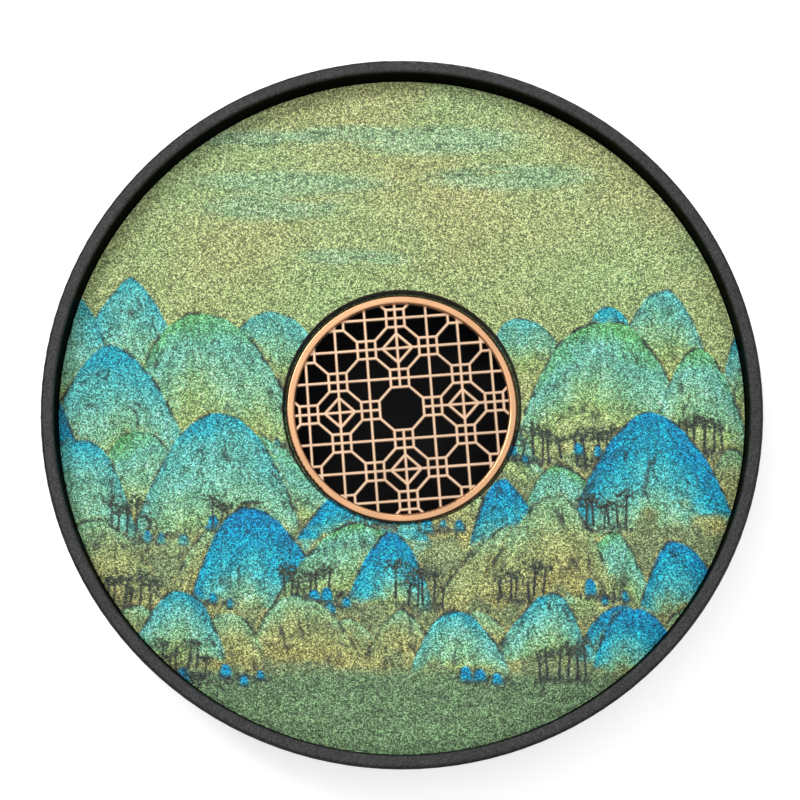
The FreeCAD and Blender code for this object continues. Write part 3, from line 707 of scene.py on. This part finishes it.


def base_plastic():
    """Dark grained plastic with painted shade: plain near-black colours inside the rim and the reservoir,
    where it also shines less, and darker at the rim's outer edge and down the outer wall.
    """
    rim_colour = (0.034, 0.034, 0.035)
    # Painted shade: the inner wall and the reservoir are the same plastic as the rim, given near-black
    # colours for the shade inside.
    painted_shade_wall_colour = (0.0012, 0.0012, 0.0013)
    painted_shade_reservoir_colour = (0.0105, 0.0105, 0.0112)
    shader = dark_plastic("base_plastic", rim_colour, 1.3, 0.52)
    radius = shader.distance_from_axis()
    height = shader.split(shader.place)[2]
    within = shader.range(radius, INNER_RADIUS + 0.35, INNER_RADIUS + 0.15)
    below = shader.range(height, RIM_TOP - 0.6, RIM_TOP - 1.2)
    above_underside = shader.range(height, RESERVOIR_FLOOR - 1.0, RESERVOIR_FLOOR - 0.5)
    inside = shader.maths("MULTIPLY", shader.maths("MULTIPLY", within, below), above_underside)
    x, y, _ = shader.split(shader.place)
    beside_niche = shader.range(shader.maths("ABSOLUTE", x), NICHE_HALF_WIDTH + 0.3, NICHE_HALF_WIDTH + 0.7)
    before_niche = shader.range(y, NICHE_BACK - 0.3, NICHE_BACK - 0.7)
    over_niche = shader.range(height, NICHE_ROOF_CLEAR - 0.2, NICHE_ROOF_CLEAR + 0.2)
    out_of_niche = shader.maths("MAXIMUM", shader.maths("MAXIMUM", beside_niche, before_niche), over_niche)
    inside = shader.maths("MULTIPLY", inside, out_of_niche)
    # Painted shade, from the reservoir's colour below the deck up to the near-black wall above it.
    painted_shade_inside_colour = shader.mix(shader.range(height, DECK_BOTTOM, DECK_TOP), painted_shade_reservoir_colour, painted_shade_wall_colour)
    grained = shader.surface.inputs["Base Color"].links[0].from_socket
    # Painted shade: the rim's outer edge and the outer wall are darkened against the rim's top, and shine
    # less.
    rim_edge = shader.range(radius, RIM_RADIUS - 1.6, RIM_RADIUS - 0.8)
    lower_wall = shader.range(height, RIM_TOP - 2.2, RIM_TOP - 3.2)
    painted_edge_and_wall_shade = shader.maths("MAXIMUM", rim_edge, lower_wall)
    outside_colour_with_painted_shade = shader.brighten(grained, shader.range(painted_edge_and_wall_shade, 0.0, 1.0, 1.0, SIDE_PAINTED_SHADE))
    edge = shader.range(painted_edge_and_wall_shade, 0.0, 1.0, 0.28, 0.08)
    shine = shader.maths("MULTIPLY", edge, shader.range(inside, 0.0, 1.0, 1.0, 0.14))
    shader.set(Base_Color=shader.mix(inside, outside_colour_with_painted_shade, painted_shade_inside_colour), Specular_IOR_Level=shine)
    return shader.material


def rose_gold(name, colour, roughness):
    """Satin rose-gold plating: fine brushing, faint clouding and soft hairline marks."""
    shader = Shader(name)
    cloud = shader.noise(14.0, detail=3.0)
    brushed = shader.noise(0.35, detail=2.0, place=shader.stretched(1.0, 0.06, 1.0))
    pits = shader.noise(0.9, detail=3.0)
    tone = shader.mix(shader.range(cloud, 0.3, 0.7), colour, tuple(min(1.0, 1.10 * part) for part in colour))
    tone = shader.mix(shader.range(pits, 0.55, 0.8, 0.0, 0.25), tone, tuple(0.75 * part for part in colour))
    relief = shader.bump(brushed, 0.012, 0.5)
    relief = shader.bump(pits, 0.02, 0.4, under=relief)
    shader.set(Base_Color=tone, Metallic=1.0, Normal=relief,
               Roughness=shader.range(cloud, 0.3, 0.7, roughness - 0.05, roughness + 0.07))
    return shader.material


def soft_rubber(name, colour, roughness, sheen=0.1):
    """Silicone or rubber with a fine moulded grain and a touch of dust."""
    shader = Shader(name)
    dust = shader.noise(3.0, detail=5.0)
    grain = shader.noise(0.25, detail=2.0)
    dusty = tuple(0.5 * part + 0.12 for part in colour)
    tone = shader.mix(shader.range(dust, 0.5, 0.8, 0.0, 0.3), colour, dusty)
    shader.set(Base_Color=tone, Normal=shader.bump(grain, 0.03, 0.5), Sheen_Weight=sheen,
               Roughness=shader.range(dust, 0.3, 0.7, roughness - 0.06, roughness + 0.08))
    return shader.material


def dress(nodes, material):
    """Give CAD nodes their material."""
    for name in nodes:
        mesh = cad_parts[name].data
        mesh.materials.clear()
        mesh.materials.append(material)


# ================================================================ stage, lights and camera
FLOOR_SIZE = 8.0
FLOOR_DROP = 0.0001           # keeps the floor out of the plane of the feet
FLOOR_GLOW = 0.37             # keeps the pale floor near white under the tray's soft shadow
KEY_POWER = 74.0
FILL_POWER = 4.0
KEY_PLACE = (-1.5, 1.9, 3.2)   # metres
FILL_PLACE = (1.2, -0.6, 1.2)
LIGHT_SIZE = 1.6              # side of each square area light
WORLD_OVERHEAD = 1.06
WORLD_HORIZON = 0.05
WORLD_SEEN = 1.0              # brightness of the backdrop where the camera sees it directly


def add_floor():
    """Pale studio floor."""
    half = FLOOR_SIZE / 2
    mesh = bpy.data.meshes.new("studio_floor")
    corners = [(-half, -half), (half, -half), (half, half), (-half, half)]
    mesh.from_pydata([(x, y, -FLOOR_DROP) for x, y in corners], [], [(0, 1, 2, 3)])
    floor = bpy.data.objects.new("studio_floor", mesh)
    bpy.context.scene.collection.objects.link(floor)
    shader = Shader("studio_floor")
    paint = shader.noise(40.0, detail=2.0)
    pale = shader.mix(paint, (0.90, 0.90, 0.90), (0.93, 0.93, 0.93))
    shader.set(Base_Color=pale, Roughness=0.9, Specular_IOR_Level=0.1,
               Emission_Color=(1.0, 1.0, 1.0), Emission_Strength=FLOOR_GLOW)
    mesh.materials.append(shader.material)


def add_light(name, place, size, power):
    """Square soft light aimed at the tray."""
    light = bpy.data.lights.new(name, "AREA")
    light.shape = "SQUARE"
    light.size = size
    light.energy = power
    lamp = bpy.data.objects.new(name, light)
    lamp.location = place
    lamp.rotation_euler = (-Vector(place)).to_track_quat("-Z", "Y").to_euler()
    bpy.context.scene.collection.objects.link(lamp)


def add_world():
    """Soft white surroundings: they light the tray from overhead and look pale all round."""
    world = bpy.data.worlds.new("studio")
    world.use_nodes = True
    nodes = world.node_tree.nodes
    links = world.node_tree.links
    place = nodes.new("ShaderNodeTexCoord")
    split = nodes.new("ShaderNodeSeparateXYZ")
    links.new(place.outputs["Generated"], split.inputs[0])
    height = nodes.new("ShaderNodeMapRange")
    height.interpolation_type = "SMOOTHSTEP"
    height.inputs["From Min"].default_value = 0.0
    height.inputs["From Max"].default_value = 0.95
    height.inputs["To Min"].default_value = WORLD_HORIZON
    height.inputs["To Max"].default_value = WORLD_OVERHEAD
    links.new(split.outputs["Z"], height.inputs["Value"])
    path = nodes.new("ShaderNodeLightPath")
    seen = nodes.new("ShaderNodeMix")
    links.new(path.outputs["Is Camera Ray"], seen.inputs["Factor"])
    links.new(height.outputs[0], seen.inputs["A"])
    seen.inputs["B"].default_value = WORLD_SEEN
    background = nodes["Background"]
    background.inputs["Color"].default_value = (1.0, 1.0, 1.0, 1.0)
    links.new(seen.outputs["Result"], background.inputs["Strength"])
    bpy.context.scene.world = world


CAMERA_PLACE = Vector((-0.00078, -0.1523, 0.7931))
CAMERA_TARGET = Vector((-0.00078, 0.000135, 0.0460))
CAMERA_LENS = 82.34           # on a 36 mm sensor
CAMERA_ROLL = 0.09            # degrees


def add_camera():
    """Nearly overhead view from a little in front of the tray."""
    camera = bpy.data.cameras.new("camera")
    camera.lens = CAMERA_LENS
    camera.sensor_width = 36.0
    rig = bpy.data.objects.new("camera", camera)
    turn = (CAMERA_TARGET - CAMERA_PLACE).to_track_quat("-Z", "Y").to_matrix().to_4x4()
    roll = Matrix.Rotation(math.radians(CAMERA_ROLL), 4, "Z")
    rig.matrix_world = Matrix.Translation(CAMERA_PLACE) @ turn @ roll
    bpy.context.scene.collection.objects.link(rig)
    bpy.context.scene.camera = rig
    bpy.context.scene.view_settings.view_transform = "Standard"


# ================================================================ build
deck = printed_deck()
deck.data.materials.append(sand_print())
deck.data.materials.append(dark_plastic("deck_plastic", (0.03, 0.03, 0.032), 1.3, 0.6).material)
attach(deck, "deck")
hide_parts("deck_plate")

feet = [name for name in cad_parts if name.startswith("foot_")]
cushions = [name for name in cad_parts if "cushion" in name]
dress(["base_tray"], base_plastic())
dress(["grate_ring"], rose_gold("rose_gold_ring", (0.640, 0.360, 0.195), 0.32))
dress(["grate_lattice"], rose_gold("rose_gold_lattice", (0.620, 0.435, 0.298), 0.38))
dress(feet, soft_rubber("foot_rubber", (0.03, 0.03, 0.03), 0.75))
dress(cushions, soft_rubber("cushion_silicone", (0.55, 0.56, 0.56), 0.5))
dress(["drain_spout", "drain_nut"], dark_plastic("drain_plastic", (0.05, 0.05, 0.052), 0.7, 0.4).material)
dress(["drain_seal", "drain_stopper"], soft_rubber("seal_silicone", (0.42, 0.42, 0.41), 0.5))

add_floor()
add_world()
add_light("key", KEY_PLACE, LIGHT_SIZE, KEY_POWER)
add_light("fill", FILL_PLACE, LIGHT_SIZE, FILL_POWER)
add_camera()
